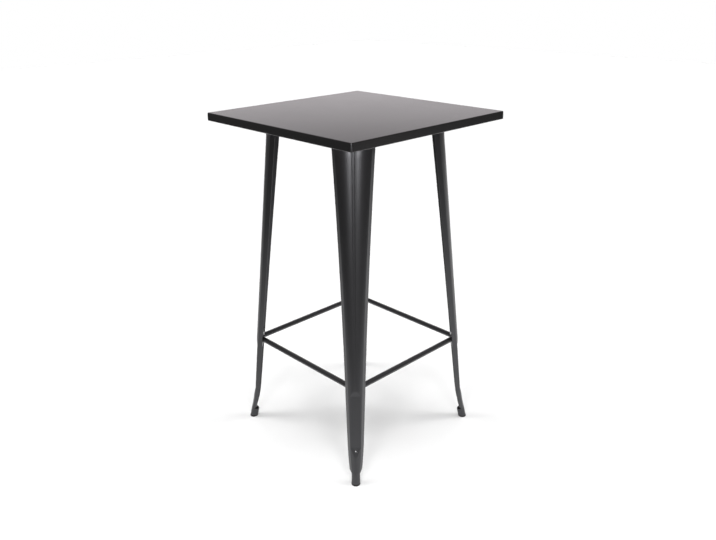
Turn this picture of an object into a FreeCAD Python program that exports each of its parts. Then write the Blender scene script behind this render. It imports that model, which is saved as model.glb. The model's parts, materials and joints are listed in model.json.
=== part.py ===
import FreeCAD, Part
import math
import os
from collections import namedtuple

# Pub table in folded and pressed sheet steel. Millimetres, +Z up, floor at z = 0,
# origin on the floor under the middle of the top. The front is towards -Y.

# Whole table
table_height = 1024.0
top_width = 600.0

# Top: a folded steel pan around a core board
skirt_depth = 23.0
pan_sheet = 1.2
pan_fold_radius = 2.0
pan_corner_radius = 4.0
lip_width = 14.0
core_gap = 0.4

# Legs: heights, from the floor upwards
sole_thickness = 5.0
foot_back_height = 27.0
foot_top_height = 33.5
shoulder_rise = 10.0
ankle_rise = 44.5
band_runout = 28.0
band_runin = 16.0
groove_end_height = 296.0

# Legs: distance of the crown from the table's axis, along the diagonal
leg_top_reach = 253.3
ankle_reach = 348.6
instep_kick = 3.9
shoulder_kick = 8.95
foot_setback = 1.15
foot_lean = 7.25

# Legs: widths across the channel, and the flat flanges beside its crowned face.
# The face is an arc to crown_angle each side of the diagonal, the flanges face flange_angle.
leg_sheet = 1.5
leg_top_width = 117.5
knee_width = 57.6
band_top_width = 57.0
band_foot_width = 47.0
ankle_width = 44.2
instep_width = 41.2
shoulder_width = 36.8
leg_flange = 16.0
band_foot_flange = 14.8
ankle_flange = 14.0
instep_flange = 14.0
shoulder_flange = 13.5
crown_angle = math.radians(40)
flange_angle = math.radians(60)
leg_bow_share = 0.36
instep_height_share = 0.5
upper_height_shares = (0.0, 0.2, 0.4, 0.6, 0.8, 1.0)

# Legs: the pressed groove, the flat band and the faint flute down the crown.
# An edge share is a share of the crown angle, a floor share one of the edge's width.
groove_top_edge_share = 0.09
groove_foot_edge_share = 0.155
groove_floor_share = 0.22
groove_top_step = 1.5
groove_foot_step = 0.4
brow_floor_share = 0.45
band_top_edge_share = 0.72
band_foot_edge_share = 0.96
band_floor_share = 0.965
band_step = 0.4
flute_edge_share = 0.17
flute_floor_share = 0.4
flute_step = 0.3
hanging_hole_radius = 2.0
hanging_hole_height_share = 0.64

# Feet: the rolled end of the leg and its rubber plug
foot_radius = 12.75
foot_seam_angle = math.radians(8)
plug_gap = 0.2
plug_recess = 3.0
sole_rim = 0.3
sole_chamfer = 1.2

# Plate across the top end of each leg
top_plate_thickness = 4.0
top_plate_tail = 46.0
tail_bolt_share = 0.5
tail_bolt_spread_share = 0.68
front_bolt_inset = 18.0

# Footrest: round rails, the corner plates they are welded to, the brackets in the legs
rail_height = 300.0
rail_radius = 8.0
rail_wall = 1.2
rail_gap = 1.5
corner_plate_thickness = 3.0
bracket_thickness = 3.0
bracket_height = 44.0
bracket_gap = 0.4
corner_plate_inset = 1.5
rail_bolt_pitch = 28.0

# Fasteners
bolt_radius = 3.0
bolt_hole_gap = 0.3
thread_gap = 0.1
bolt_tip_chamfer = 0.6
head_flats = 10.0
head_height = 4.0
nut_height = 5.0
bolt_tip_length = 1.0
washer_radius = 6.0
washer_thickness = 1.6
washer_gap = 0.2
insert_radius = 5.0
insert_length = 14.0
insert_grip = 10.0
insert_gap = 0.1

# Reach of every cut past the faces that it goes through
overrun = 2.0

# Places worked out from the sizes above
diagonal_share = math.cos(math.pi / 4)
core_bottom = table_height - skirt_depth + pan_sheet
leg_top_height = core_bottom - top_plate_thickness
shoulder_height = foot_top_height + shoulder_rise
ankle_height = shoulder_height + ankle_rise
instep_height = shoulder_height + instep_height_share * ankle_rise
band_foot_height = ankle_height + band_runout
band_top_height = groove_end_height - band_runin
up = FreeCAD.Vector(0, 0, 1)
out = FreeCAD.Vector(1, 0, 0)

corner_angles = {"front_right": -45, "back_right": 45, "back_left": 135, "front_left": 225}
side_angles = {"front": 0, "right": 90, "back": 180, "left": 270}

Station = namedtuple("Station", "height reach width flange edge_share floor_share step")


def blend(low, high, share):
    """Value at a share of the way from low to high."""
    return low + share * (high - low)


def turned(shape, degrees):
    """Copy of a shape, turned about the table's axis."""
    copy = shape.copy()
    copy.rotate(FreeCAD.Vector(0, 0, 0), up, degrees)
    return copy


def line(start, end):
    return Part.LineSegment(start, end).toShape()


def arc(start, middle, end):
    return Part.Arc(start, middle, end).toShape()


def prism(points, thickness):
    """Solid above a flat polygon."""
    return Part.Face(Part.makePolygon(points + points[:1])).extrude(up * thickness)


def centred_box(width, low, high):
    """Square box about the table's axis, from one height to another."""
    corner = FreeCAD.Vector(-width / 2, -width / 2, low)
    return Part.makeBox(width, width, high - low, corner)


def upright_edges(solid):
    return [e for e in solid.Edges if e.BoundBox.XLength + e.BoundBox.YLength < e.BoundBox.ZLength]


def level_edges(solid):
    return [e for e in solid.Edges if e.BoundBox.ZLength < e.BoundBox.XLength + e.BoundBox.YLength]


# Shape of a leg, in a frame of its own: u outwards along the diagonal, v across it

def straight_reach(height):
    """Reach of the crown on the straight run from the ankle to the top end."""
    share = (height - ankle_height) / (leg_top_height - ankle_height)
    return blend(ankle_reach, leg_top_reach, share)


def upper_station(share):
    """Section of the grooved upper leg, at a share of the way from the knee to the top end."""
    height = blend(groove_end_height, leg_top_height, share)
    bow = blend(share, share ** 2, leg_bow_share)
    width = blend(knee_width, leg_top_width, bow)
    edge_share = blend(groove_foot_edge_share, groove_top_edge_share, share)
    step = blend(groove_foot_step, groove_top_step, share)
    return Station(height, straight_reach(height), width, leg_flange, edge_share, groove_floor_share, step)


def foot_axis(height):
    """Distance of the rolled foot's middle from the table's axis."""
    return ankle_reach - foot_setback + foot_lean * (1 - height / foot_top_height)


def fluted(height, reach, width, flange, step):
    return Station(height, reach, width, flange, flute_edge_share, flute_floor_share, step)


def crown_radius(station):
    """Radius of the crowned face, whose arc and flanges together span the width."""
    half_face = station.width / 2 - station.flange * math.cos(flange_angle)
    return half_face / math.sin(crown_angle)


def chord_depth(station):
    """How far the straight line between the groove's edges lies inside the crown."""
    return crown_radius(station) * (1 - math.cos(station.edge_share * crown_angle))


def on_crown(station):
    """The same section with the corners of its floor raised to the crown, so nothing is pressed in."""
    floor_sine = station.floor_share * math.sin(station.edge_share * crown_angle)
    floor_depth = crown_radius(station) * (1 - math.sqrt(1 - floor_sine ** 2))
    return station._replace(step=floor_depth - chord_depth(station))


upper_stations = [upper_station(share) for share in upper_height_shares]
band_top = Station(band_top_height, straight_reach(band_top_height), band_top_width,
                   leg_flange, band_top_edge_share, band_floor_share, band_step)
band_foot = Station(band_foot_height, straight_reach(band_foot_height), band_foot_width,
                    band_foot_flange, band_foot_edge_share, band_floor_share, band_step)
ankle = fluted(ankle_height, ankle_reach, ankle_width, ankle_flange, flute_step)
instep = fluted(instep_height, ankle_reach + instep_kick, instep_width, instep_flange, flute_step)
shoulder = fluted(shoulder_height, ankle_reach + shoulder_kick, shoulder_width,
                  shoulder_flange, flute_step)
foot_top = fluted(foot_top_height, foot_axis(foot_top_height) + foot_radius,
                  2 * foot_radius * math.sin(2 * flange_angle - crown_angle),
                  2 * foot_radius * math.sin(flange_angle - crown_angle), 0)
band_brow = on_crown(Station(groove_end_height, straight_reach(groove_end_height), knee_width,
                             leg_flange, band_top_edge_share, brow_floor_share, 0))
lower_stations = [foot_top, shoulder, instep, ankle, band_foot, band_top, band_brow]


def station_at(height):
    """Section of the leg at any height above its foot."""
    if height >= groove_end_height:
        return upper_station((height - groove_end_height) / (leg_top_height - groove_end_height))
    for low, high in zip(lower_stations, lower_stations[1:]):
        if height <= high.height:
            share = (height - low.height) / (high.height - low.height)
            return Station(*(blend(a, b, share) for a, b in zip(low, high)))


def flange_end(station):
    """Place of the back edge of the flanges, from the table's axis."""
    radius = crown_radius(station)
    face_end = station.reach - radius + radius * math.cos(crown_angle)
    return face_end - station.flange * math.sin(flange_angle)


def channel_half_width(station, reach):
    """Room between the diagonal and the inner face of a flange, at a distance from the table's axis."""
    radius = crown_radius(station)
    inner_face = radius * math.cos(flange_angle - crown_angle) - leg_sheet
    depth = reach - (station.reach - radius)
    return (inner_face - depth * math.cos(flange_angle)) / math.sin(flange_angle)


def skin_edges(station, inset):
    """Seven edges of one face of the sheet: flange, crown, groove side, floor and back again."""
    radius = crown_radius(station)
    middle = station.reach - radius
    edge_angle = station.edge_share * crown_angle

    def rim(angle, side):
        return FreeCAD.Vector(middle + (radius - inset) * math.cos(angle),
                              side * (radius - inset) * math.sin(angle), station.height)

    def half(side):
        end = FreeCAD.Vector(flange_end(station) - inset * math.cos(flange_angle),
                             side * (station.width / 2 - inset * math.sin(flange_angle)), station.height)
        edge = rim(edge_angle, side)
        floor = FreeCAD.Vector(edge.x - station.step, edge.y * station.floor_share, edge.z)
        return end, rim(crown_angle, side), rim((crown_angle + edge_angle) / 2, side), edge, floor

    end_a, bend_a, between_a, edge_a, floor_a = half(-1)
    end_b, bend_b, between_b, edge_b, floor_b = half(1)
    edges = [line(end_a, bend_a), arc(bend_a, between_a, edge_a), line(edge_a, floor_a),
             line(floor_a, floor_b), line(floor_b, edge_b), arc(edge_b, between_b, bend_b),
             line(bend_b, end_b)]
    return edges, end_a, end_b


def sheet_section(station):
    """Closed outline of the pressed sheet at one height."""
    outer, outer_a, outer_b = skin_edges(station, 0)
    inner, inner_a, inner_b = skin_edges(station, leg_sheet)
    return Part.Wire(outer + [line(outer_b, inner_b)] + inner[::-1] + [line(inner_a, outer_a)])


def ring_section(height):
    """Closed outline of the rolled foot at one height, open at a seam towards the table's axis."""
    middle = foot_axis(height)
    seam = math.pi - foot_seam_angle / 2

    def rim(radius, angle):
        return FreeCAD.Vector(middle + radius * math.cos(angle), radius * math.sin(angle), height)

    def half(radius, side):
        return arc(rim(radius, 0), rim(radius, side * seam / 2), rim(radius, side * seam))

    bore_radius = foot_radius - leg_sheet
    ends = [line(rim(foot_radius, side * seam), rim(bore_radius, side * seam)) for side in (1, -1)]
    return Part.Wire([half(foot_radius, 1), ends[0], half(bore_radius, 1), half(bore_radius, -1),
                      ends[1], half(foot_radius, -1)])


def make_rolled_foot():
    """Rolled lower end of the leg, cut down from the ends of the flanges to the seam at its back."""
    ring = Part.makeLoft([ring_section(h) for h in (sole_thickness, foot_top_height)], True, True)
    middle = foot_axis(foot_top_height)
    front = middle + foot_radius * math.cos(2 * flange_angle - crown_angle)
    back = middle - foot_radius
    slope = (foot_top_height - foot_back_height) / (front - back)
    side = -foot_radius - overrun
    end = back - foot_lean - overrun
    top = foot_top_height + overrun
    outline = [FreeCAD.Vector(front, side, foot_top_height),
               FreeCAD.Vector(end, side, foot_top_height - slope * (front - end)),
               FreeCAD.Vector(end, side, top), FreeCAD.Vector(front, side, top)]
    face = Part.Face(Part.makePolygon(outline + outline[:1]))
    return ring.cut(face.extrude(FreeCAD.Vector(0, -2 * side, 0)))


def hanging_hole():
    """Cutter for the small hole in the slope between the flat band and the ankle."""
    height = blend(ankle_height, band_foot_height, hanging_hole_height_share)
    station = station_at(height)
    depth = leg_sheet + hanging_hole_radius + overrun
    start = FreeCAD.Vector(station.reach - chord_depth(station) - depth, 0, height)
    return Part.makeCylinder(hanging_hole_radius, 2 * depth, start, out)


def make_leg():
    """Pressed channel from its top end to its rolled foot, with the hanging hole above the foot."""
    upper = Part.makeLoft([sheet_section(s) for s in upper_stations], True, False)
    flare = Part.makeLoft([sheet_section(s) for s in (shoulder, instep, ankle)], True, False)
    spans = [(foot_top, shoulder), (ankle, band_foot), (band_foot, band_top), (band_top, band_brow)]
    straights = [Part.makeLoft([sheet_section(s) for s in span], True, True) for span in spans]
    leg = upper.fuse([flare, make_rolled_foot()] + straights)
    return leg.cut(hanging_hole())


def make_foot_plug():
    """Rubber plug: a sole under the rolled foot and a stem inside it."""
    sole_radius = foot_radius + sole_rim
    stem_radius = foot_radius - leg_sheet - plug_gap

    def rod(*rings):
        wires = []
        for height, radius in rings:
            middle = FreeCAD.Vector(foot_axis(height), 0, height)
            wires.append(Part.Wire(Part.makeCircle(radius, middle)))
        return Part.makeLoft(wires, True, True)

    sole = rod((0, sole_radius - sole_chamfer), (sole_chamfer, sole_radius), (sole_thickness, sole_radius))
    stem = rod((sole_thickness, stem_radius), (foot_back_height - plug_recess, stem_radius))
    return sole.fuse(stem)


# Fasteners, along a direction from the face that they seat on

def placed(shape, seat, direction):
    copy = shape.copy()
    copy.Placement = FreeCAD.Placement(seat, FreeCAD.Rotation(up, direction))
    return copy


def hexagon(height):
    """Hexagonal prism on the origin, as wide across its flats as the bolt heads."""
    corner = head_flats / 2 / math.cos(math.pi / 6)
    points = [FreeCAD.Vector(corner * math.cos(i * math.pi / 3), corner * math.sin(i * math.pi / 3), 0)
              for i in range(6)]
    return prism(points, height)


def make_bolt(length, seat, direction):
    """Hex bolt whose head seats on a face, with its shank pointing along direction."""
    shank = Part.makeCylinder(bolt_radius, length)
    tip = [e for e in shank.Edges if e.BoundBox.ZMin > length - bolt_tip_chamfer]
    shank = shank.makeChamfer(bolt_tip_chamfer, tip)
    head = hexagon(head_height)
    head.translate(up * -head_height)
    return placed(head.fuse(shank), seat, direction)


def make_tube(radius, bore, length, seat, direction):
    tube = Part.makeCylinder(radius, length).cut(Part.makeCylinder(bore, length))
    return placed(tube, seat, direction)


def make_washer(seat, direction):
    return make_tube(washer_radius, bolt_radius + washer_gap, washer_thickness, seat, direction)


def make_nut(seat, direction):
    nut = hexagon(nut_height).cut(Part.makeCylinder(bolt_radius + thread_gap, nut_height))
    return placed(nut, seat, direction)


def bolt_hole(seat, direction, depth):
    """Cutter for a clearance hole through a plate that starts at the seat."""
    start = seat - direction * overrun
    return Part.makeCylinder(bolt_radius + bolt_hole_gap, depth + 2 * overrun, start, direction)


# Plate across the top end of a leg, and its bolts

leg_top = upper_stations[-1]
tail_edge = flange_end(leg_top) - top_plate_tail
tail_bolt_reach = tail_edge + tail_bolt_share * top_plate_tail
tail_bolt_side = tail_bolt_spread_share * leg_top_width / 2
top_bolt_seats = [FreeCAD.Vector(tail_bolt_reach, -tail_bolt_side, leg_top_height),
                  FreeCAD.Vector(tail_bolt_reach, tail_bolt_side, leg_top_height),
                  FreeCAD.Vector(leg_top_reach - front_bolt_inset, 0, leg_top_height)]


def make_top_plate():
    """Plate with the leg's outer outline and a square tail, drilled for its bolts."""
    radius = crown_radius(leg_top)
    side = leg_top_width / 2
    end = flange_end(leg_top)
    bend_u = leg_top_reach - radius + radius * math.cos(crown_angle)
    bend_v = radius * math.sin(crown_angle)

    def point(u, v):
        return FreeCAD.Vector(u, v, leg_top_height)

    outline = [arc(point(bend_u, -bend_v), point(leg_top_reach, 0), point(bend_u, bend_v)),
               line(point(bend_u, bend_v), point(end, side)),
               line(point(end, side), point(tail_edge, side)),
               line(point(tail_edge, side), point(tail_edge, -side)),
               line(point(tail_edge, -side), point(end, -side)),
               line(point(end, -side), point(bend_u, -bend_v))]
    plate = Part.Face(Part.Wire(outline)).extrude(up * top_plate_thickness)
    return plate.cut([bolt_hole(seat, up, top_plate_thickness) for seat in top_bolt_seats])


# Footrest

rail_station = station_at(rail_height)
corner_plate_face = flange_end(rail_station) + corner_plate_inset
bracket_face = corner_plate_face + corner_plate_thickness
nut_face = bracket_face + bracket_thickness
rail_offset = diagonal_share * (corner_plate_face + rail_gap / 2) + rail_radius
rail_bolt_heights = [rail_height - rail_bolt_pitch / 2, rail_height + rail_bolt_pitch / 2]


def rail_bolt_seats(reach):
    return [FreeCAD.Vector(reach, 0, height) for height in rail_bolt_heights]


def channel_plate(face, thickness):
    """Upright plate that fills the leg's channel from flange to flange, drilled for its bolts."""
    ends = []
    for height in (rail_height - bracket_height / 2, rail_height + bracket_height / 2):
        station = station_at(height)
        sides = [channel_half_width(station, u) - bracket_gap for u in (face, face + thickness)]
        points = [FreeCAD.Vector(face, -sides[0], height),
                  FreeCAD.Vector(face + thickness, -sides[1], height),
                  FreeCAD.Vector(face + thickness, sides[1], height),
                  FreeCAD.Vector(face, sides[0], height)]
        ends.append(Part.makePolygon(points + points[:1]))
    plate = Part.makeLoft(ends, True, True)
    return plate.cut([bolt_hole(seat, out, thickness) for seat in rail_bolt_seats(face)])


def make_rail():
    """Front rail: a round tube cut to a mitre at both ends, where it meets the corner plates."""
    near = -rail_offset - rail_radius - overrun
    far = -rail_offset + rail_radius + overrun
    mitre = corner_plate_face / diagonal_share
    start = FreeCAD.Vector(-mitre, -rail_offset, rail_height)
    tube = Part.makeCylinder(rail_radius, 2 * mitre, start, out)
    tube = tube.cut(Part.makeCylinder(rail_radius - rail_wall, 2 * mitre, start, out))
    low = rail_height - rail_radius - overrun
    plan = [FreeCAD.Vector(-mitre - near, near, low), FreeCAD.Vector(mitre + near, near, low),
            FreeCAD.Vector(mitre + far, far, low), FreeCAD.Vector(-mitre - far, far, low)]
    return tube.common(prism(plan, 2 * (rail_radius + overrun)))


# Top

def make_pan():
    """Folded pan with a rounded edge and a lip turned in under the core board."""
    low = table_height - skirt_depth

    def rounded(width, bottom, top, corner, fold):
        box = centred_box(width, bottom, top)
        box = box.makeFillet(corner, upright_edges(box))
        return box.makeFillet(fold, level_edges(box))

    outside = rounded(top_width, low, table_height, pan_corner_radius, pan_fold_radius)
    inside = rounded(top_width - 2 * pan_sheet, core_bottom, table_height - pan_sheet,
                     pan_corner_radius - pan_sheet, pan_fold_radius - pan_sheet)
    mouth = centred_box(top_width - 2 * lip_width, low - overrun, core_bottom + pan_sheet)
    return outside.cut([inside, mouth])


def make_core():
    """Board captured in the pan, with blind holes for the threaded inserts."""
    board = centred_box(top_width - 2 * (pan_sheet + core_gap), core_bottom, table_height - pan_sheet)
    board = board.makeFillet(pan_corner_radius - pan_sheet, upright_edges(board))
    board = board.makeChamfer(pan_fold_radius - pan_sheet, level_edges(board))
    start = FreeCAD.Vector(0, 0, core_bottom - overrun)
    hole = Part.makeCylinder(insert_radius + insert_gap, insert_length + overrun, start)
    holes = []
    for angle in corner_angles.values():
        for seat in top_bolt_seats:
            cutter = hole.copy()
            cutter.translate(FreeCAD.Vector(seat.x, seat.y, 0))
            holes.append(turned(cutter, angle))
    return board.cut(holes)


# One solid, or one group of fasteners, for each node

nodes = {"tabletop_pan": make_pan(), "core_board": make_core()}

corner_pieces = {"leg": make_leg(), "leg_top_plate": make_top_plate(), "foot_plug": make_foot_plug(),
                 "leg_bracket": channel_plate(bracket_face, bracket_thickness),
                 "footrest_corner_plate": channel_plate(corner_plate_face, corner_plate_thickness)}
for piece, shape in corner_pieces.items():
    for corner, angle in corner_angles.items():
        nodes[f"{piece}_{corner}"] = turned(shape, angle)

rail = make_rail()
for side, angle in side_angles.items():
    nodes[f"footrest_rail_{side}"] = turned(rail, angle)

top_bolt_length = washer_thickness + top_plate_thickness + insert_grip
rail_plates = corner_plate_thickness + bracket_thickness
rail_bolt_length = washer_thickness + rail_plates + nut_height + bolt_tip_length
insert_bore = bolt_radius + thread_gap
below_plate = up * -washer_thickness
before_plate = out * -washer_thickness
head_seats = rail_bolt_seats(corner_plate_face)
fasteners = {
    "threaded_inserts": [make_tube(insert_radius, insert_bore, insert_length,
                                   seat + up * top_plate_thickness, up) for seat in top_bolt_seats],
    "top_bolts": [make_bolt(top_bolt_length, seat + below_plate, up) for seat in top_bolt_seats],
    "top_washers": [make_washer(seat + below_plate, up) for seat in top_bolt_seats],
    "footrest_bolts": [make_bolt(rail_bolt_length, seat + before_plate, out) for seat in head_seats],
    "footrest_washers": [make_washer(seat + before_plate, out) for seat in head_seats],
    "footrest_nuts": [make_nut(seat, out) for seat in rail_bolt_seats(nut_face)]}
for name, solids in fasteners.items():
    group = [turned(solid, angle) for angle in corner_angles.values() for solid in solids]
    nodes[name] = Part.makeCompound(group)

os.makedirs("parts", exist_ok=True)
for name, shape in nodes.items():
    shape.exportStep(f"parts/{name}.step")
    print(name, len(shape.Solids), "solids,", round(shape.Volume), "cubic mm, valid", shape.isValid())
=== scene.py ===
# %% [markdown]
# # A pub table in black powder-coated steel
# A tall square table: a folded sheet-steel top on four pressed legs that lean outwards, with
# four thin rails as a footrest. Its construction comes ready-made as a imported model, with every
# piece at its real size in metres. This lesson keeps that model as a fixed frame and gives it
# its looks: softer pressed shapes, weld beads, paint, rubber and plated bolts.

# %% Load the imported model
import json
from collections import namedtuple
from math import acos, atan2, cos, pi, radians, sin, sqrt

import bmesh
import bpy
from mathutils import Matrix, Vector


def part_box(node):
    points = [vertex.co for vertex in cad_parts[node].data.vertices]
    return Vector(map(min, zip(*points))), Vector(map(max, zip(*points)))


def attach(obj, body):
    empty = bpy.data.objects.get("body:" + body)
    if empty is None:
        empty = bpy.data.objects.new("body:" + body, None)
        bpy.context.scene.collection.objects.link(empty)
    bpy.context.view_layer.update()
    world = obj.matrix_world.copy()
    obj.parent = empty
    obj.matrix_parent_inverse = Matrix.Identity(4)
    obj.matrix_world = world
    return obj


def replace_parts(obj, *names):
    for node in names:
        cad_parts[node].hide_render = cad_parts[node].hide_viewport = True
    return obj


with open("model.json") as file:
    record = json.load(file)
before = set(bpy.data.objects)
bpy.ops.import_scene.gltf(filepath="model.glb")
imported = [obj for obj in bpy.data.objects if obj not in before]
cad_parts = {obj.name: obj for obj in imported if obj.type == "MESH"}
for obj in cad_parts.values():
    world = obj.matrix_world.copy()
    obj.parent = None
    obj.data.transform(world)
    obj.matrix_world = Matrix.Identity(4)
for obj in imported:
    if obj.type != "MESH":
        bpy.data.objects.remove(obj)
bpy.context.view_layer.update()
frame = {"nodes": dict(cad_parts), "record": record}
corner_turns = {"front_right": -pi / 4, "back_right": pi / 4,
                "back_left": 3 * pi / 4, "front_left": -3 * pi / 4}

# %% [markdown]
# ## Sums on sockets
# A finish is a small network of nodes. Adding them call by call is slow to read, so a value in
# the network is wrapped in a class with the usual operators: `1 - mask` then adds a Math node by
# itself. Every other node comes from one method, which sets the node up before it is linked.

# %% A value in a node tree
class Value:
    """A socket that can be used in sums. Each operator adds a Math node."""

    def __init__(self, socket):
        self.socket = socket

    def node(self, kind, settings, inputs, output=0):
        """Another node of the same tree: its settings, then the values or links of its sockets."""
        tree = self.socket.id_data
        made = tree.nodes.new(kind)
        for name, setting in settings.items():
            setattr(made, name, setting)
        for name, value in inputs.items():
            if isinstance(value, Value):
                tree.links.new(value.socket, made.inputs[name])
            else:
                made.inputs[name].default_value = value
        return Value(made.outputs[output])

    def math(self, operation, first, second):
        return self.node("ShaderNodeMath", {"operation": operation}, {0: first, 1: second})

    def __add__(self, other):
        return self.math("ADD", self, other)

    def __mul__(self, other):
        return self.math("MULTIPLY", self, other)

    def __sub__(self, other):
        return self.math("SUBTRACT", self, other)

    def __rsub__(self, other):
        return self.math("SUBTRACT", other, self)

    __radd__ = __add__
    __rmul__ = __mul__

    def noise(self, scale, detail=2.0):
        """Smooth noise from 0 to 1 over this place, with scale bumps in a metre."""
        inputs = {"Vector": self, "Scale": scale, "Detail": detail}
        return self.node("ShaderNodeTexNoise", {}, inputs, "Fac")

    def streaks(self, scales, detail=2.0):
        """Noise with its own number of bumps in a metre along each axis."""
        stretched = self.node("ShaderNodeMapping", {}, {"Vector": self, "Scale": scales})
        return stretched.noise(1.0, detail)

    def mixed(self, low, high):
        """A colour between two others, with this value as the share of the second."""
        kind = {"data_type": "RGBA", "clamp_factor": True}
        return self.node("ShaderNodeMix", kind, {"Factor": self, 6: low, 7: high}, 2)

    def eased(self, low, high, start, end):
        """From start to end as this value goes from low to high, smoothly, and level past them."""
        kind = {"interpolation_type": "SMOOTHSTEP"}
        ends = {"From Min": low, "From Max": high, "To Min": start, "To Max": end}
        return self.node("ShaderNodeMapRange", kind, {"Value": self, **ends})

    def along(self, direction):
        """How far this place lies along a direction."""
        kind = {"operation": "DOT_PRODUCT"}
        return self.node("ShaderNodeVectorMath", kind, {0: self, 1: direction}, "Value")

    def bumped(self, distance):
        """A normal from this value as a height, where 1 stands that distance proud."""
        return self.node("ShaderNodeBump", {}, {"Height": self, "Distance": distance})

    def ray(self, kind):
        """1 where a ray of that kind arrives, and 0 for the others."""
        return self.node("ShaderNodeLightPath", {}, {}, f"Is {kind} Ray")


# %% [markdown]
# Every finish starts in the same way: a material with one main shader, and the place on the
# object for its patterns to follow. That place is in metres and the pieces aren't turned or
# scaled, so a pattern has its real size and runs on from one piece to the next.

# %% Start a finish
def new_finish(name):
    """A material with one main shader: gives the material, the shader and the place on the object."""
    material = bpy.data.materials.new(name)
    material.use_nodes = True
    tree = material.node_tree
    shader = tree.nodes["Principled BSDF"]
    place = Value(tree.nodes.new("ShaderNodeTexCoord").outputs["Object"])
    return material, shader, place


def feed(shader, **inputs):
    """Link values to sockets of the main shader, or set them."""
    for name, value in inputs.items():
        socket = shader.inputs[name.replace("_", " ")]
        if isinstance(value, Value):
            shader.id_data.links.new(value.socket, socket)
        else:
            socket.default_value = value


def grey(level, warmth=0.0):
    """A colour of that level, a little redder for a positive warmth."""
    return (level * (1 + warmth), level, level * (1 - warmth / 2), 1)


# %% [markdown]
# ## Powder coat
# Powder coat is a plastic skin that is sprayed on as dust and melted in an oven. It is nearly
# black here and has a satin sheen, and the melt leaves it very slightly wavy, like the peel of
# an orange. One even colour would look like plain plastic, so three noises break it up: a slow
# one for thicker and thinner paint, a fine one for the peel and a finer one for the grains of
# the powder. They change the colour, the sheen and the slope of the surface. The top is the
# smoother of the two coats.

# %% The two powder coats
patch_scale = 9.0
peel_scale = 420.0
grain_scale = 1900.0
peel_height = 0.00003


def powder_coat(name, level, roughness, index, sheen):
    """Dark paint of that level, roughness and index of refraction, with the colour of its sheen."""
    material, shader, place = new_finish(name)
    patches = place.noise(patch_scale)
    peel = place.noise(peel_scale, 3.0)
    grain = place.noise(grain_scale, 1.0)
    colour = (0.7 * patches + 0.3 * grain).mixed(grey(level * 0.75), grey(level * 1.25))
    feed(shader, Base_Color=colour, IOR=index, Specular_Tint=sheen)
    feed(shader, Roughness=roughness - 0.05 + 0.06 * patches + 0.04 * grain)
    feed(shader, Normal=(peel + 0.3 * grain).bumped(peel_height))
    return material


warm_sheen = (1.0, 0.95, 0.975, 1)
cold_sheen = (0.95, 0.95, 1.0, 1)
finishes = {"powder_coat_top": powder_coat("satin_powder_coat_top", 0.006, 0.12, 1.55, warm_sheen),
            "powder_coat_frame": powder_coat("satin_powder_coat_frame", 0.007, 0.31, 1.7, cold_sheen)}
print("made", ", ".join(finishes))


# %% [markdown]
# ## Board, rubber and plated steel
# The board inside the top is dark sealed fibreboard, with short fibres along one direction. The
# foot plugs are moulded rubber, matt and a little dusty. The bolts are zinc plated, which gives
# a bright metal with cloudy patches of sheen. Pictures of such surfaces would show their repeats
# and seams, and noises don't. One that is stretched along an axis gives fibres and scratches.

# %% The other finishes
board_dark = (0.04, 0.03, 0.022, 1)
board_pale = (0.12, 0.092, 0.07, 1)
fibre_scales = (40, 700, 700)
zinc_dark = (0.42, 0.43, 0.45, 1)
zinc_pale = (0.62, 0.62, 0.62, 1)
scratch_scales = (4000, 600, 600)


def fibre_board(name):
    """Brown board with short fibres along the X axis."""
    material, shader, place = new_finish(name)
    fibres = place.streaks(fibre_scales, 4.0)
    patches = place.noise(25.0)
    colour = (0.7 * fibres + 0.3 * patches).mixed(board_dark, board_pale)
    feed(shader, Base_Color=colour, Roughness=0.62 + 0.2 * fibres, Normal=fibres.bumped(0.0002))
    return material


def moulded_rubber(name):
    """Black rubber with a fine grain and some pale dust."""
    material, shader, place = new_finish(name)
    dust = place.noise(120.0, 4.0)
    grain = place.noise(2500.0, 1.0)
    colour = dust.mixed(grey(0.01), grey(0.028, 0.1))
    feed(shader, Base_Color=colour, Roughness=0.7 + 0.2 * dust, IOR=1.45)
    feed(shader, Normal=grain.bumped(0.00004))
    return material


def zinc_plate(name):
    """Bright metal with cloudy sheen and very fine scratches."""
    material, shader, place = new_finish(name)
    clouds = place.noise(300.0, 3.0)
    scratches = place.streaks(scratch_scales)
    colour = clouds.mixed(zinc_dark, zinc_pale)
    feed(shader, Base_Color=colour, Metallic=1.0, Roughness=0.28 + 0.2 * clouds)
    feed(shader, Normal=scratches.bumped(0.00002))
    return material


finishes["core_board"] = fibre_board("sealed_fibre_board")
finishes["foot_rubber"] = moulded_rubber("moulded_rubber")
finishes["zinc_fasteners"] = zinc_plate("zinc_plate")
print(len(finishes), "finishes")

# %% [markdown]
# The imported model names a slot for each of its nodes, which says what the piece is made of. The
# nodes keep their shapes and only get the finish of their slot.

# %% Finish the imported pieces
for part in frame["record"]["subparts"]:
    slots = frame["nodes"][part["node"]].data.materials
    slots.clear()
    slots.append(finishes[part["material_slot"]])

# %% [markdown]
# ## Legs
# Each leg is one sheet of steel, pressed into a channel. Its face is crowned, two flat flanges
# turn back from it, and a groove runs down the upper part. Lower down the crown is pressed flat,
# and at the floor the sheet is rolled into a narrow foot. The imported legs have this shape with
# knife-sharp creases, but a press leaves round ones, and these carry the soft highlights. A bevel
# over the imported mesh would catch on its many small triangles, so the legs are made again: a
# chain of edges goes half way round the sheet at one height, as straight runs and true arcs, and
# chains at many heights are bridged into a skin.

# %% The sizes of a leg
# A station is the channel's section at one height: the crown's distance from the table's axis, the
# whole width, the width of a flange, and half the width and the depth of the groove's floor.
Station = namedtuple("Station", "height reach width flange floor_half depth")

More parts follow.
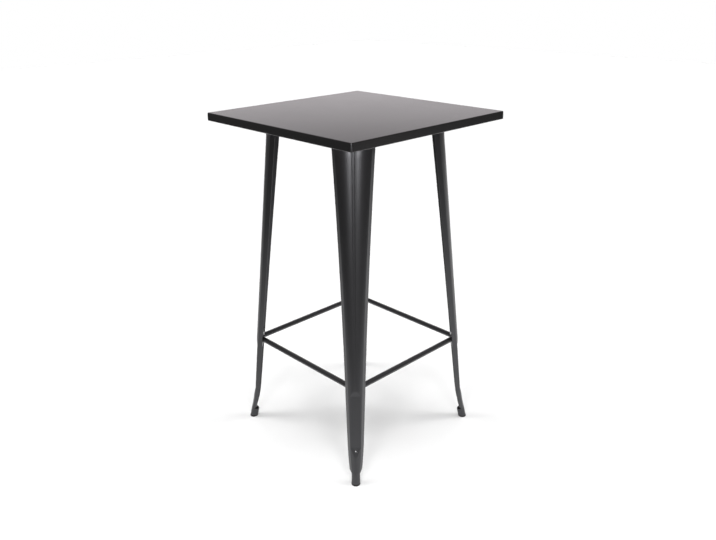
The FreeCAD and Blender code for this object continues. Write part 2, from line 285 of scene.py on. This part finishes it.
leg_sheet = 0.0015
crown_angle = radians(40)
flange_angle = radians(60)
crease_radius = 0.003
press_radius = 0.002
leg_low, leg_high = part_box("leg_front_right")
leg_top_height = leg_high.z
knee_height = 0.296
ankle_height = 0.088
ankle_reach = 0.3486
top_reach = 0.2533
knee_width = 0.0576
leg_top_width = 0.1175
bow_share = 0.36
flange_width = 0.016


def blend(low, high, share):
    """Value at a share of the way from low to high."""
    return low + share * (high - low)


def between(low, high, share):
    """Station at a share of the way from one to another."""
    return Station(*(blend(a, b, share) for a, b in zip(low, high)))


def crown_reach(height):
    """Distance of the crown from the table's axis on the straight run above the ankle."""
    return blend(ankle_reach, top_reach, (height - ankle_height) / (leg_top_height - ankle_height))


def crown_radius(width, flange):
    """Radius of the crown between two flanges, which lean by their own angle."""
    return (width / 2 - flange * cos(flange_angle)) / sin(crown_angle)


print("leg from", round(leg_low.z, 4), "to", round(leg_top_height, 4), "m")

# %% [markdown]
# Spinning a single vertex draws an arc, and spinning it by no angle but with a step draws a
# straight run. Every chain has the same number of edges in each of its parts, so that bridging
# joins crease to crease.

# %% Runs and arcs
floor_steps = 2
hollow_steps = 3
lip_steps = 4
crown_steps = 8
crease_steps = 4
run_steps = 9
half_steps = floor_steps + hollow_steps + lip_steps + crown_steps + crease_steps + run_steps


def drawn_run(bm, vertex, away, steps):
    """Straight chain of edges from a vertex. Gives the last vertex."""
    made = bmesh.ops.spin(bm, geom=[vertex], axis=(0, 0, 1), angle=0, dvec=away / steps, steps=steps)
    return made["geom_last"][0]


def drawn_arc(bm, vertex, middle, angle, steps):
    """Chain of edges on an arc about an upright axis. Gives the last vertex."""
    made = bmesh.ops.spin(bm, geom=[vertex], cent=middle, axis=(0, 0, 1), angle=angle, steps=steps)
    return made["geom_last"][0]


print(half_steps, "edges in each chain")


# %% [markdown]
# The channel is drawn from the middle of its groove outwards. The groove is two arcs that turn
# opposite ways, so that it runs smoothly out of its floor into the crown, and a third arc rounds
# the crease between the crown and the flange. The centres of these arcs follow from the circles
# that they touch.

# %% The section of the channel
def channel_chain(bm, station):
    """Half of the outer face of the channel, from the middle of the groove to the flange's end."""
    radius = crown_radius(station.width, station.flange)
    rise = radius - station.depth + press_radius
    slant = sqrt(rise ** 2 + station.floor_half ** 2)
    lip_reach = radius - press_radius
    turn_cosine = (slant ** 2 + 4 * press_radius ** 2 - lip_reach ** 2) / (4 * press_radius * slant)
    wall = acos(min(turn_cosine, 1)) - atan2(station.floor_half, rise)
    hollow = Vector((rise, station.floor_half, 0))
    lip = hollow + 2 * press_radius * Vector((-cos(wall), sin(wall), 0))
    lip_angle = atan2(lip.y, lip.x)
    crease_reach = radius - crease_radius
    crease_cosine = (radius * cos(flange_angle - crown_angle) - crease_radius) / crease_reach
    crown_end = flange_angle - acos(crease_cosine)
    crease = Vector((cos(crown_end), sin(crown_end), 0)) * crease_reach
    axis = Vector((station.reach - radius, 0, station.height))
    flange_depth = radius * cos(crown_angle) - station.flange * sin(flange_angle)
    flange_end = axis + Vector((flange_depth, station.width / 2, 0))

    tip = bm.verts.new(axis + Vector((radius - station.depth, 0, 0)))
    tip = drawn_run(bm, tip, Vector((0, station.floor_half, 0)), floor_steps)
    tip = drawn_arc(bm, tip, axis + hollow, -wall, hollow_steps)
    tip = drawn_arc(bm, tip, axis + lip, wall + lip_angle, lip_steps)
    tip = drawn_arc(bm, tip, axis, crown_end - lip_angle, crown_steps)
    tip = drawn_arc(bm, tip, axis + crease, flange_angle - crown_end, crease_steps)
    drawn_run(bm, tip, flange_end - tip.co, run_steps)


# %% [markdown]
# The foot is the same sheet, rolled until its two edges nearly meet at the back. They leave a
# narrow seam, and above it they open along a slant into the flanges.

# %% The section of the foot
foot_radius = 0.01275
foot_top_height = 0.0335
foot_back_height = 0.027
foot_top_axis = 0.34745
foot_lean = 0.00725 / foot_top_height
foot_seam = radians(4)
foot_nose = radians(8)


def foot_axis(height):
    """Distance of the rolled foot's middle from the table's axis."""
    return foot_top_axis + foot_lean * (foot_top_height - height)


def foot_chain(bm, height):
    """Half of the rolled foot at one height, from its front to its back edge."""
    slant = max(0, (height - foot_back_height) / (foot_top_height - foot_back_height))
    end = acos(blend(-1, cos(2 * flange_angle - crown_angle), slant))
    axis = Vector((foot_axis(height), 0, height))
    tip = bm.verts.new(axis + Vector((foot_radius, 0, 0)))
    tip = drawn_arc(bm, tip, axis, foot_nose, floor_steps + hollow_steps + lip_steps)
    tip = drawn_arc(bm, tip, axis, crown_angle - foot_nose, crown_steps + crease_steps)
    drawn_arc(bm, tip, axis, min(end, pi - foot_seam) - crown_angle, run_steps)


print("foot", round(2000 * foot_radius, 1), "mm wide")


# %% [markdown]
# The heights of the chains are the places where the press tool changes direction. Each of these
# creases is eased by two chains, one just below and one just above it.

# %% The stations of a leg
groove_half_low, groove_half_high = 0.001, 0.0018
groove_depth_low, groove_depth_high = 0.0005, 0.0017
groove_start = 0.02
upper_count = 14
crease_ease = 0.001
widest_ease = 0.45


def upper_station(share):
    """Section of the grooved upper leg, at a share of the way from the knee to the top end."""
    height = blend(knee_height, leg_top_height, share)
    width = blend(knee_width, leg_top_width, blend(share, share ** 2, bow_share))
    groove_half = blend(groove_half_low, groove_half_high, share)
    groove_depth = blend(groove_depth_low, groove_depth_high, share)
    return Station(height, crown_reach(height), width, flange_width, groove_half, groove_depth)


def flush(height, reach, width, flange, floor_half):
    """Section with a flat floor that runs straight into the crown, so that nothing is pressed in."""
    radius = crown_radius(width, flange) - press_radius
    return Station(height, reach, width, flange, floor_half, radius - sqrt(radius ** 2 - floor_half ** 2))


def split_creases(stations):
    """The same stations with each inner one split in two, a little below and above it."""
    result = stations[:1]
    for below, here, above in zip(stations, stations[1:], stations[2:]):
        down = crease_ease / (here.height - below.height)
        up = crease_ease / (above.height - here.height)
        result.append(between(here, below, min(down, widest_ease)))
        result.append(between(here, above, min(up, widest_ease)))
    return result + stations[-1:]


shoulder = Station(0.0435, 0.35755, 0.0368, 0.0135, 0.001, 0.0004)
instep = Station(0.06575, 0.3525, 0.0412, 0.014, 0.001, 0.0004)
ankle = Station(ankle_height, ankle_reach, 0.0442, 0.014, 0.001, 0.0004)
band_foot = Station(0.116, crown_reach(0.116), 0.047, 0.0148, 0.0125, 0.0053)
band_top = Station(0.28, crown_reach(0.28), 0.057, flange_width, 0.0132, 0.0043)
brow = flush(knee_height, crown_reach(knee_height), knee_width, flange_width, 0.0068)

grooved = [upper_station(blend(groove_start, 1, i / upper_count)) for i in range(upper_count + 1)]
lower = [shoulder, instep, ankle, band_foot, band_top, brow]
leg_stations = split_creases(lower + grooved[:1]) + grooved[1:]
print(len(leg_stations), "chains above the foot")

# %% [markdown]
# All chains go into one bmesh. Bridging makes the faces between each chain and the next, and a
# mirror adds the other half. The skin is open, so that its normals can come out inwards: the
# foremost face then shows which way they point.

# %% The skin of a leg
roll_steps = 3
slant_steps = 5
merge_gap = 0.00001
rolled = [blend(leg_low.z, foot_back_height, i / roll_steps) for i in range(roll_steps + 1)]
slanted = [blend(foot_back_height, foot_top_height, i / slant_steps) for i in range(1, slant_steps + 1)]

skin = bmesh.new()
chains = []
for height in rolled + slanted:
    foot_chain(skin, height)
    chains.append(skin.edges[-half_steps:])
for station in leg_stations:
    channel_chain(skin, station)
    chains.append(skin.edges[-half_steps:])
for low, high in zip(chains, chains[1:]):
    bmesh.ops.bridge_loops(skin, edges=low + high)
whole = skin.verts[:] + skin.edges[:] + skin.faces[:]
bmesh.ops.mirror(skin, geom=whole, merge_dist=merge_gap, axis="Y")
bmesh.ops.remove_doubles(skin, verts=skin.verts, dist=merge_gap)
bmesh.ops.recalc_face_normals(skin, faces=skin.faces)
front_face = max(skin.faces, key=lambda face: face.calc_center_median().x)
if front_face.normal.x < 0:
    bmesh.ops.reverse_faces(skin, faces=skin.faces)
print(len(chains), "chains make", len(skin.faces), "faces")

# %% [markdown]
# A finished bmesh becomes an object at the origin, with its place in its mesh, like the packed
# pieces. It rides on the table's one body and gets the finish of its slot.

# %% Make a piece
sharp_angle = radians(35)


def new_piece(name, bm, slot):
    """Object from a finished bmesh, smooth between its sharp edges, that rides on the table."""
    mesh = bpy.data.meshes.new(name)
    for face in bm.faces:
        face.smooth = True
    bm.to_mesh(mesh)
    bm.free()
    mesh.set_sharp_from_angle(angle=sharp_angle)
    mesh.materials.append(finishes[slot])
    piece = bpy.data.objects.new(name, mesh)
    bpy.context.scene.collection.objects.link(piece)
    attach(piece, "root")
    return piece


pattern = new_piece("pattern", skin, "powder_coat_frame")
print("pattern of", len(pattern.data.polygons), "faces")

# %% [markdown]
# The sheet gets its thickness on the inside, then a small hole above the foot, by which the leg
# hangs in the coating line, and last its edges are rounded. Modifiers do this well: Solidify keeps
# the wall even round the creases, and the drill is a plain cylinder for a Boolean. The finished
# mesh is then kept in place of the modifiers.

# %% Thickness, hole and edges
hole_radius = 0.002
hole_share = 0.64
hole_height = blend(ankle.height, band_foot.height, hole_share)
drill_sides = 24
drill_length = 0.03
sheet_edge = 0.0004
edge_angle = radians(60)

bm = bmesh.new()
hole_middle = Vector((crown_reach(hole_height), 0, hole_height))
drill_place = Matrix.Translation(hole_middle) @ Matrix.Rotation(pi / 2, 4, "Y")
bmesh.ops.create_cone(bm, cap_ends=True, segments=drill_sides, radius1=hole_radius, radius2=hole_radius,
                      depth=drill_length, matrix=drill_place)
drill = new_piece("drill", bm, "powder_coat_frame")

wall = pattern.modifiers.new("sheet", "SOLIDIFY")
wall.thickness = leg_sheet
wall.offset = -1
wall.use_even_offset = True
hole = pattern.modifiers.new("hole", "BOOLEAN")
hole.object = drill
hole.solver = "EXACT"
rounding = pattern.modifiers.new("edge", "BEVEL")
rounding.width = sheet_edge
rounding.segments = 2
rounding.limit_method = "ANGLE"
rounding.angle_limit = edge_angle

formed = pattern.evaluated_get(bpy.context.evaluated_depsgraph_get())
leg_mesh = bpy.data.meshes.new_from_object(formed)
for helper in (pattern, drill):
    bpy.data.objects.remove(helper)
print("leg of", len(leg_mesh.polygons), "faces, with a hole at", round(hole_height, 4), "m")

# %% [markdown]
# The leg was drawn along the X axis. A copy is turned to each corner, and stands for the packed
# leg there.

# %% The four legs
for corner, turn in corner_turns.items():
    bm = bmesh.new()
    bm.from_mesh(leg_mesh)
    bmesh.ops.rotate(bm, verts=bm.verts, matrix=Matrix.Rotation(turn, 3, "Z"))
    leg = new_piece(f"pressed_leg_{corner}", bm, "powder_coat_frame")
    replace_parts(leg, f"leg_{corner}")
bpy.data.meshes.remove(leg_mesh)
print(len(corner_turns), "legs")

# %% [markdown]
# ## Welds
# The rails are cut to a mitre and welded all round to the plates in the corners, and each leg is
# welded to the plate on its top end, on the inside. A weld is a bead of molten metal with a ripple
# for each step of the torch. A bump in the paint could hint at it, but the bead stands proud of the
# steel, so it is drawn: a small circle is spun round an axis, and its rings swell and shrink.

# %% Rippled beads
bead_radius = 0.0016
bead_sides = 10
ripple_share = 0.14
ripple_length = 0.0022


def rippled_bead(bm, radius, angle, steps):
    """Bead round the Z axis, from the positive X axis on. Gives the circles at its two ends."""
    upright = Matrix.Translation((radius, 0, 0)) @ Matrix.Rotation(pi / 2, 4, "X")
    circle = bmesh.ops.create_circle(bm, segments=bead_sides, radius=bead_radius, matrix=upright)["verts"]
    edges = list({edge for vertex in circle for edge in vertex.link_edges})
    closed = angle == 2 * pi
    made = bmesh.ops.spin(bm, geom=circle + edges, axis=(0, 0, 1), angle=angle, steps=steps,
                          use_merge=closed)
    ripples = round(angle * radius / ripple_length)
    for vertex in bm.verts:
        turn = atan2(vertex.co.y, vertex.co.x)
        core = Vector((cos(turn), sin(turn), 0)) * radius
        vertex.co += (vertex.co - core) * ripple_share * sin(turn / angle * 2 * pi * ripples)
    return circle, [part for part in made["geom_last"] if isinstance(part, bmesh.types.BMVert)]


def turned_to_corners(bm):
    """Copy what is drawn along the positive X axis to all four corners."""
    drawn = bm.verts[:] + bm.edges[:] + bm.faces[:]
    for turn in corner_turns.values():
        made = bmesh.ops.duplicate(bm, geom=drawn)["geom"]
        verts = [part for part in made if isinstance(part, bmesh.types.BMVert)]
        bmesh.ops.rotate(bm, verts=verts, matrix=Matrix.Rotation(turn, 3, "Z"))
    bmesh.ops.delete(bm, geom=drawn, context="VERTS")


print("beads", round(2000 * bead_radius, 1), "mm thick")

# %% [markdown]
# The place of a rail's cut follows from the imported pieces: both rails of a corner end on the face of
# the corner plate, a rail's radius and half a small gap away from the diagonal. A mitred round tube
# ends in an oval, so the ring of the weld is stretched sideways.

# %% Welds of the rails
rail_low, rail_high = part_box("footrest_rail_front")
rail_radius = (rail_high.z - rail_low.z) / 2
rail_height = (rail_high.z + rail_low.z) / 2
rail_gap = 0.0015
rail_weld_steps = 64
mitre_stretch = sqrt(2)
corner_plate = frame["nodes"]["footrest_corner_plate_front_right"]
diagonal = Vector((cos(corner_turns["front_right"]), sin(corner_turns["front_right"]), 0))
plate_corners = [corner_plate.matrix_world @ vertex.co for vertex in corner_plate.data.vertices]
plate_face = min(diagonal.dot(corner) for corner in plate_corners)
rail_aside = mitre_stretch * rail_radius + rail_gap / 2

bm = bmesh.new()
rippled_bead(bm, rail_radius, 2 * pi, rail_weld_steps)
bmesh.ops.rotate(bm, verts=bm.verts, matrix=Matrix.Rotation(pi / 2, 3, "Y"))
bmesh.ops.scale(bm, verts=bm.verts, vec=(1, mitre_stretch, 1))
bmesh.ops.translate(bm, verts=bm.verts, vec=(plate_face, rail_aside, rail_height))
bmesh.ops.mirror(bm, geom=bm.verts[:] + bm.edges[:] + bm.faces[:], merge_dist=0, axis="Y")
turned_to_corners(bm)
bmesh.ops.recalc_face_normals(bm, faces=bm.faces)
new_piece("rail_welds", bm, "powder_coat_frame")
print("rails welded at", round(plate_face, 4), "m from the axis")

# %% [markdown]
# A leg's weld follows the inside of the crown under the top plate, so its bead is only part of a
# turn. Merging the circle at each end draws it to a point, where the torch was lifted.

# %% Welds of the legs to their top plates
crown_top = crown_radius(leg_top_width, flange_width)
weld_angle = radians(33)
leg_weld_steps = 160
bead_sink = bead_radius / 3

bm = bmesh.new()
ends = rippled_bead(bm, crown_top - leg_sheet - bead_sink, 2 * weld_angle, leg_weld_steps)
for ring in ends:
    middle = sum((vertex.co for vertex in ring), Vector()) / bead_sides
    bmesh.ops.pointmerge(bm, verts=ring, merge_co=middle)
bmesh.ops.rotate(bm, verts=bm.verts, matrix=Matrix.Rotation(-weld_angle, 3, "Z"))
bmesh.ops.translate(bm, verts=bm.verts, vec=(top_reach - crown_top, 0, leg_top_height - bead_sink))
turned_to_corners(bm)
bmesh.ops.recalc_face_normals(bm, faces=bm.faces)
new_piece("top_plate_welds", bm, "powder_coat_frame")
print("legs welded over", round(2 * weld_angle * crown_top * 1000), "mm")

# %% [markdown]
# The four corners of the folded top are closed with a weld too, which is ground smooth. The grinder
# leaves the corner a little sharper than the fold of the sheet and rounds it off towards the top,
# where it catches the light. Ground steel is rougher than rolled sheet, so the coat on it is as dull
# as on the frame. A ball that is stretched upwards and stands on a straight stem has this shape. It
# is cut off level at both ends and set into the corner.

# %% Ground welds of the top
pan_low, pan_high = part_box("tabletop_pan")
fold_radius = 0.004
ground_radius = 0.003
ground_proud = 0.0009
ground_rise = 0.016
ground_margin = 0.0008
ball_sides = 32
stem_length = pan_high.z - pan_low.z - 2 * ground_margin - ground_rise
ball_height = ground_rise / sqrt(1 - (1 - ground_proud / ground_radius) ** 2)
ground_reach = sqrt(2) * (pan_high.x - fold_radius) + fold_radius + ground_proud - ground_radius

bm = bmesh.new()
bmesh.ops.create_uvsphere(bm, u_segments=ball_sides, v_segments=ball_sides, radius=1)
bmesh.ops.scale(bm, verts=bm.verts, vec=(ground_radius, ground_radius, ball_height))
lower_half = [vertex for vertex in bm.verts if vertex.co.z < -ball_height / ball_sides]
bmesh.ops.translate(bm, verts=lower_half, vec=(0, 0, -stem_length))
for height, outwards in ((-stem_length, (0, 0, -1)), (ground_rise, (0, 0, 1))):
    whole = bm.verts[:] + bm.edges[:] + bm.faces[:]
    bmesh.ops.bisect_plane(bm, geom=whole, plane_co=(0, 0, height), plane_no=outwards, clear_outer=True)
    bmesh.ops.holes_fill(bm, edges=bm.edges)
bmesh.ops.translate(bm, verts=bm.verts, vec=(ground_reach, 0, pan_high.z - ground_margin - ground_rise))
turned_to_corners(bm)
bmesh.ops.recalc_face_normals(bm, faces=bm.faces)
new_piece("top_corner_welds", bm, "powder_coat_frame")
print("corners welded over", round((stem_length + ground_rise) * 1000), "mm")

# %% [markdown]
# ## Bolts and washers
# The bolts are stock six-sided ones. Their heads are forged, so their edges are rounded, and the
# washers are stamped, with one soft edge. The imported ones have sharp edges, which never catch the
# light. So each is drawn again, upright on its seat with its head down, and a bevel softens the
# edges that can be seen.

# %% Shapes of bolt and washer
bolt_radius = 0.003
bolt_sides = 24
head_flats = 0.010
head_height = 0.004
head_edge = 0.0007
thread_edge = 0.0005
washer_radius = 0.006
washer_thickness = 0.0016
washer_edge = 0.0005
washer_sides = 40
washer_bore = bolt_radius + 0.0002
hair = 0.0001


def softened(bm, edges, width):
    """Round some edges off, to that width."""
    bmesh.ops.bevel(bm, geom=edges, offset=width, offset_type="OFFSET", affect="EDGES", segments=3,
                    profile=0.5, material=-1)


def hex_bolt(bm, length):
    """Bolt with its head under the XY plane and its shank above."""
    corner = head_flats / 2 / cos(pi / 6)
    bmesh.ops.create_cone(bm, cap_ends=True, segments=6, radius1=corner, radius2=corner,
                          depth=head_height, matrix=Matrix.Translation((0, 0, -head_height / 2)))
    outer = [edge for edge in bm.edges if max(vertex.co.z for vertex in edge.verts) < -head_height / 2]
    softened(bm, outer, head_edge)
    bmesh.ops.create_cone(bm, cap_ends=True, segments=bolt_sides, radius1=bolt_radius, radius2=bolt_radius,
                          depth=length, matrix=Matrix.Translation((0, 0, length / 2)))
    tip = [edge for edge in bm.edges if min(vertex.co.z for vertex in edge.verts) > length - hair]
    softened(bm, tip, thread_edge)


def flat_washer(bm):
    """Washer that lies on the XY plane."""
    corners = [(washer_bore, 0), (washer_radius, 0),
               (washer_radius, washer_thickness), (washer_bore, washer_thickness)]
    ring = [bm.verts.new((x, 0, z)) for x, z in corners]
    edges = [bm.edges.new((a, b)) for a, b in zip(ring, ring[1:] + ring[:1])]
    bmesh.ops.spin(bm, geom=ring + edges, axis=(0, 0, 1), angle=2 * pi, steps=washer_sides, use_merge=True)
    outer = [edge for edge in bm.edges
             if min(vertex.co.xy.length for vertex in edge.verts) > washer_radius - hair]
    rim = [edge for edge in outer if max(vertex.co.z for vertex in edge.verts) < hair]
    softened(bm, rim, washer_edge)


print("bolt heads", round(1000 * head_flats), "mm across flats")


# %% [markdown]
# Three bolts sit under each top plate, two of them on its tail and one under the crown, and two in
# each corner of the footrest. Their seats are measured along the diagonal, like the legs. Each seat
# is a turn from upright and a place, so that the same bolt serves under the top and in the footrest.

# %% Lay the bolts and washers
plate_tail = 0.046
side_bolts = 0.03995
front_bolt_inset = 0.018
rail_bolt_pitch = 0.028
top_bolt_length = 0.0156
rail_bolt_length = 0.0136


def laid(name, draw, seats, node):
    """Piece with one drawn shape on each seat in all four corners."""
    every = bmesh.new()
    for turn in corner_turns.values():
        for seat in seats:
            bm = bmesh.new()
            draw(bm)
            bmesh.ops.recalc_face_normals(bm, faces=bm.faces)
            bmesh.ops.transform(bm, verts=bm.verts, matrix=Matrix.Rotation(turn, 4, "Z") @ seat)
            mesh = bpy.data.meshes.new("one")
            bm.to_mesh(mesh)
            bm.free()
            every.from_mesh(mesh)
            bpy.data.meshes.remove(mesh)
    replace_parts(new_piece(name, every, "zinc_fasteners"), node)


flange_back = crown_top * (1 - cos(crown_angle)) + flange_width * sin(flange_angle)
tail_bolts = top_reach - flange_back - plate_tail / 2
bolt_places = [(tail_bolts, -side_bolts), (tail_bolts, side_bolts), (top_reach - front_bolt_inset, 0)]
top_seats = [Matrix.Translation((x, y, leg_top_height - washer_thickness)) for x, y in bolt_places]
lying = Matrix.Rotation(pi / 2, 4, "Y")
rail_bolt_heights = [rail_height - rail_bolt_pitch / 2, rail_height + rail_bolt_pitch / 2]
rail_seats = [Matrix.Translation((plate_face - washer_thickness, 0, z)) @ lying for z in rail_bolt_heights]
laid("hex_bolts_top", lambda bm: hex_bolt(bm, top_bolt_length), top_seats, "top_bolts")
laid("hex_bolts_footrest", lambda bm: hex_bolt(bm, rail_bolt_length), rail_seats, "footrest_bolts")
laid("flat_washers_top", flat_washer, top_seats, "top_washers")
laid("flat_washers_footrest", flat_washer, rail_seats, "footrest_washers")
print(4 * len(top_seats), "bolts under the top and", 4 * len(rail_seats), "in the footrest")

# %% [markdown]
# ## Floor and light
# The table stands in a white studio, on a wide sheet of pale paper. A plain grid is enough for it.
# The camera's turn round the table is set here, because the light of the studio follows it.

# %% The floor
floor_half = 12.0
view_turn = radians(46.077)
to_camera = Vector((sin(view_turn), -cos(view_turn), 0))
to_right = Vector((cos(view_turn), sin(view_turn), 0))

floor_mesh = bpy.data.meshes.new("studio_floor")
bm = bmesh.new()
bmesh.ops.create_grid(bm, size=floor_half)
bm.to_mesh(floor_mesh)
bm.free()
floor = bpy.data.objects.new("studio_floor", floor_mesh)
bpy.context.scene.collection.objects.link(floor)
print("floor", 2 * floor_half, "m wide")

# %% [markdown]
# The lamps bring the paper nearly to white and a faint glow does the rest, so that it keeps the soft
# shadow under the table. Polish and metal see the paper bright around the feet, and dim towards the
# camera and the sides, where the studio isn't lit: this keeps the upright faces dark. From below
# the paper is clear, so that the underside of the table can be looked at.

# %% The paper
floor_white = 0.92
floor_glow = 0.04
front_start, front_end, front_share = 0.4, 1.25, 0.27
left_start, left_end, left_share = 0.5, -3.5, 0.15
right_start, right_end, right_share = 0.5, 7.0, 0.12

material, shader, place = new_finish("pale_paper")
camera_ray = place.ray("Camera")
seen = camera_ray + place.ray("Glossy") + place.ray("Transmission")
aside = place.along(to_right)
paper = place.along(to_camera).eased(front_start, front_end, 1.0, front_share)
paper = paper * aside.eased(left_end, left_start, left_share, 1.0)
paper = paper * aside.eased(right_start, right_end, 1.0, right_share)
shown = camera_ray + (1 - camera_ray) * paper
feed(shader, Base_Color=shown.mixed(grey(0.0), grey(floor_white)), Roughness=1.0, Specular_IOR_Level=0.0)
feed(shader, Emission_Color=(seen * shown).mixed(grey(0.0), grey(floor_glow)), Emission_Strength=1.0)
below = place.node("ShaderNodeNewGeometry", {}, {}, "Backfacing")
clear = place.node("ShaderNodeBsdfTransparent", {}, {})
sides = place.node("ShaderNodeMixShader", {}, {0: below, 1: Value(shader.outputs[0]), 2: clear})
surface = shader.id_data.nodes["Material Output"].inputs["Surface"]
shader.id_data.links.new(sides.socket, surface)
floor_mesh.materials.append(material)
print("paper", floor_white, "with a glow of", floor_glow)

# %% [markdown]
# The world is the white room. The camera sees it plain white. Polish and metal see the white
# backdrop behind the table, faintly warm and brightest low down, so that the top brightens towards
# its far edge, then a dimmer ceiling and dim sides. On everything else it is a weak, even light.

# %% The white room
room_light = 0.32
backdrop_light = 1.0
backdrop_tint = (1.0, 0.95, 0.975, 1)
backdrop_top = 0.13
backdrop_foot = 0.24
backdrop_end = 0.4
side_share = 0.3
side_start = 0.6
side_full = 0.95
ceiling_start = 0.3
ceiling_full = 1.0
ceiling_light = 0.75

world = bpy.data.worlds.new("white_room")
world.use_nodes = True
bpy.context.scene.world = world
background = world.node_tree.nodes["Background"]
direction = Value(world.node_tree.nodes.new("ShaderNodeTexCoord").outputs["Generated"])
rise = direction.along((0, 0, 1))
camera_ray = direction.ray("Camera")
mirrored = direction.ray("Glossy") + direction.ray("Transmission")
behind = direction.along(-to_camera).eased(side_start, side_full, side_share, 1.0)
backdrop = behind * rise.eased(backdrop_top, backdrop_foot, backdrop_light, backdrop_end)
ceiling = rise.eased(ceiling_start, ceiling_full, 0.0, ceiling_light)
room = mirrored * (backdrop + ceiling) + (1 - mirrored) * room_light
level = camera_ray + (1 - camera_ray) * room
tint = mirrored.mixed((1, 1, 1, 1), backdrop_tint)
world.node_tree.links.new(tint.socket, background.inputs["Color"])
world.node_tree.links.new(level.socket, background.inputs["Strength"])
print("room light", room_light)

# %% [markdown]
# Three distant lights make the shadows. A wide one overhead blurs the shadow of the top on the
# floor, and one from each side draws a streak inwards from the feet. Polish doesn't show them,
# because the room already stands for what it sees there.

# %% Distant lights
overhead_level = 0.34
overhead_spread = radians(38)
overhead_lean = radians(2)
side_level = 0.21
side_spread = radians(26)
side_turn = radians(4)
side_lean = radians(46)


def distant_light(name, level, spread, turn, lean):
    """A light that adds that level on the floor, leaning from straight above to the right of a turn."""
    light = bpy.data.lights.new(name, "SUN")
    light.energy = level * pi / cos(lean)
    light.angle = spread
    lamp = bpy.data.objects.new(name, light)
    lamp.matrix_world = Matrix.Rotation(turn, 4, "Z") @ Matrix.Rotation(lean, 4, "Y")
    lamp.visible_glossy = False
    bpy.context.scene.collection.objects.link(lamp)


distant_light("overhead_light", overhead_level, overhead_spread, view_turn + pi / 2, overhead_lean)
distant_light("left_light", side_level, side_spread, view_turn - side_turn, -side_lean)
distant_light("right_light", side_level, side_spread, view_turn + side_turn, side_lean)
print(len(bpy.data.lights), "distant lights")

# %% [markdown]
# Two tall, narrow soft boxes stand left and right of the camera and draw the twin highlights down
# the upper part of the near leg. Lower down the leg mirrors the floor instead, and the highlights
# fade. Area lights are the right lamps for this, because their reflection has a size.

# %% Soft boxes
box_spread = radians(15.5)
box_distance = 3.0
box_height = 1.55
box_size = (0.7, 1.2)
left_power = 31.5
right_power = 27


def soft_box(name, turn, power):
    """An upright area light that faces the table from a direction around it."""
    light = bpy.data.lights.new(name, "AREA")
    light.shape = "RECTANGLE"
    light.size, light.size_y = box_size
    light.energy = power
    lamp = bpy.data.objects.new(name, light)
    stand = Matrix.Translation((sin(turn) * box_distance, -cos(turn) * box_distance, box_height))
    lamp.matrix_world = stand @ Matrix.Rotation(turn, 4, "Z") @ Matrix.Rotation(pi / 2, 4, "X")
    bpy.context.scene.collection.objects.link(lamp)


soft_box("left_soft_box", view_turn - box_spread, left_power)
soft_box("right_soft_box", view_turn + box_spread, right_power)
bpy.context.scene.view_settings.view_transform = "Standard"
print(len(bpy.data.lights), "lights in all")

# %% [markdown]
# ## Camera
# The photograph was taken from a little above the table top, across one corner. The place, the
# angles and the focal length were fitted to the corners of the top, the feet and the footrest.

# %% The camera
image_width = 716
focal_pixels = 697.883
view_tilt = radians(22.346)
view_roll = radians(-0.507)
view_place = Vector((1.455575, -1.395040, 1.363639))

lens = bpy.data.cameras.new("camera")
lens.sensor_fit = "HORIZONTAL"
lens.lens = lens.sensor_width * focal_pixels / image_width
camera = bpy.data.objects.new("camera", lens)
turns = Matrix.Rotation(view_turn, 4, "Z") @ Matrix.Rotation(pi / 2 - view_tilt, 4, "X")
camera.matrix_world = Matrix.Translation(view_place) @ turns @ Matrix.Rotation(view_roll, 4, "Z")
bpy.context.scene.collection.objects.link(camera)
bpy.context.scene.camera = camera
print("camera lens", round(lens.lens, 2), "mm")
